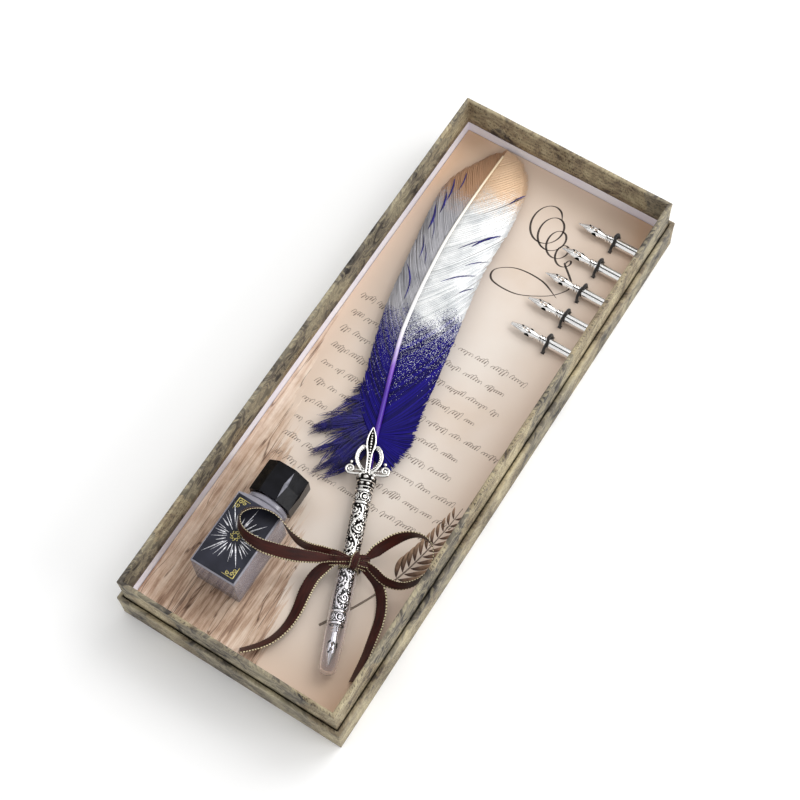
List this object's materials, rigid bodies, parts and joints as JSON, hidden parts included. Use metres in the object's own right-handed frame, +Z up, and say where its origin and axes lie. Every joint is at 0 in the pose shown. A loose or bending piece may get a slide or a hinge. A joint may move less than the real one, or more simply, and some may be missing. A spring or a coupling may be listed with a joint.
{
  "type": "quill pen set box",
  "caption": "Long rigid board box, its tray standing in its lid, holding a feather pen tied to a card, spare nibs under elastics and a glass ink bottle.",
  "frame": {"origin": "centre of the lid's underside, on the surface the box stands on", "axes": "+Y along the box towards the feather's tip, +X towards the spare nibs' side, +Z up"},
  "size_m": [0.1218, 0.3048, 0.044],
  "materials": {
    "greyboard": "raw grey board, edges covered",
    "printed_paper": "matt printed paper in mottled browns",
    "white_paper": "plain white paper",
    "art_card": "matt beige printed card",
    "elastic": "round woven elastic cord",
    "antique_silver": "cast and blackened in the recesses",
    "nib_metal": "bright plated",
    "rachis": "horny, slightly glossy",
    "feather": "dyed and metallic sprayed barbs",
    "ribbon": "satin with a gold thread along each edge",
    "bottle_glass": "clear pressed glass",
    "ink": "black ink",
    "label": "dark printed label",
    "cap_plastic": "polished black moulding",
    "liner_foam": "soft sealing disc",
    "clear_guard": "soft frosted clear tube"
  },
  "bodies": {
    "lid": {"lid_face_paper": "white_paper", "lid_board": "greyboard", "lid_wrap": "printed_paper", "lid_lining": "white_paper"},
    "tray": {"tray_base_paper": "white_paper", "tray_board": "greyboard", "tray_wrap": "printed_paper", "tray_lining": "white_paper"},
    "insert": {"platform": "greyboard", "art_card": "art_card", "elastic_loop_1": "elastic", "elastic_loop_2": "elastic", "elastic_loop_3": "elastic", "elastic_loop_4": "elastic", "elastic_loop_5": "elastic", "pen_barrel": "antique_silver", "pen_crown": "antique_silver", "pen_nib_blade": "nib_metal", "pen_nib_shank": "nib_metal", "feather_rachis": "rachis", "feather_vane_left": "feather", "feather_vane_right": "feather", "feather_down": "feather", "ribbon_band": "ribbon", "ribbon_knot": "ribbon", "ribbon_loop_left": "ribbon", "ribbon_loop_right": "ribbon", "ribbon_tail_left": "ribbon", "ribbon_tail_right": "ribbon"},
    "ink_bottle": {"bottle_glass": "bottle_glass", "bottle_ink": "ink", "bottle_label": "label"},
    "cap_seal": {"cap_liner": "liner_foam"},
    "cap": {"bottle_cap": "cap_plastic"},
    "guard": {"nib_guard": "clear_guard"},
    "spare_nib_1": {"nib_blade_1": "nib_metal", "nib_shank_1": "nib_metal"},
    "spare_nib_2": {"nib_blade_2": "nib_metal", "nib_shank_2": "nib_metal"},
    "spare_nib_3": {"nib_blade_3": "nib_metal", "nib_shank_3": "nib_metal"},
    "spare_nib_4": {"nib_blade_4": "nib_metal", "nib_shank_4": "nib_metal"},
    "spare_nib_5": {"nib_blade_5": "nib_metal", "nib_shank_5": "nib_metal"}
  },
  "joints": [
    {"name": "tray_lift", "type": "slide", "parent": "lid", "child": "tray", "axis": [0, 0, 1], "range_m": [0, 0.045]},
    {"name": "insert_lift", "type": "slide", "parent": "tray", "child": "insert", "axis": [0, 0, 1], "range_m": [0, 0.045]},
    {"name": "bottle_lift", "type": "slide", "parent": "insert", "child": "ink_bottle", "axis": [0, 0, 1], "range_m": [0, 0.03], "deforming": ["ribbon_loop_left"]},
    {"name": "cap_rise", "type": "slide", "parent": "ink_bottle", "child": "cap_seal", "axis": [0, 1, 0], "range_m": [0, 0.0061]},
    {"name": "cap_turn", "type": "hinge", "parent": "cap_seal", "child": "cap", "pos_m": [-0.025, -0.07, 0.0272], "axis": [0, 1, 0], "range_deg": [0, 720]},
    {"name": "guard_slide", "type": "slide", "parent": "insert", "child": "guard", "axis": [0.3746, -0.9272, 0], "range_m": [0, 0.012]},
    {"name": "nib_slide_1", "type": "slide", "parent": "insert", "child": "spare_nib_1", "axis": [-1, 0, 0], "range_m": [0, 0.016]},
    {"name": "nib_slide_2", "type": "slide", "parent": "insert", "child": "spare_nib_2", "axis": [-1, 0, 0], "range_m": [0, 0.016]},
    {"name": "nib_slide_3", "type": "slide", "parent": "insert", "child": "spare_nib_3", "axis": [-1, 0, 0], "range_m": [0, 0.016]},
    {"name": "nib_slide_4", "type": "slide", "parent": "insert", "child": "spare_nib_4", "axis": [-1, 0, 0], "range_m": [0, 0.016]},
    {"name": "nib_slide_5", "type": "slide", "parent": "insert", "child": "spare_nib_5", "axis": [-1, 0, 0], "range_m": [0, 0.016]}
  ],
  "couplings": [
    {"joint": "cap_rise", "follows": "cap_turn", "m_per_rad": 0.00047746}
  ]
}
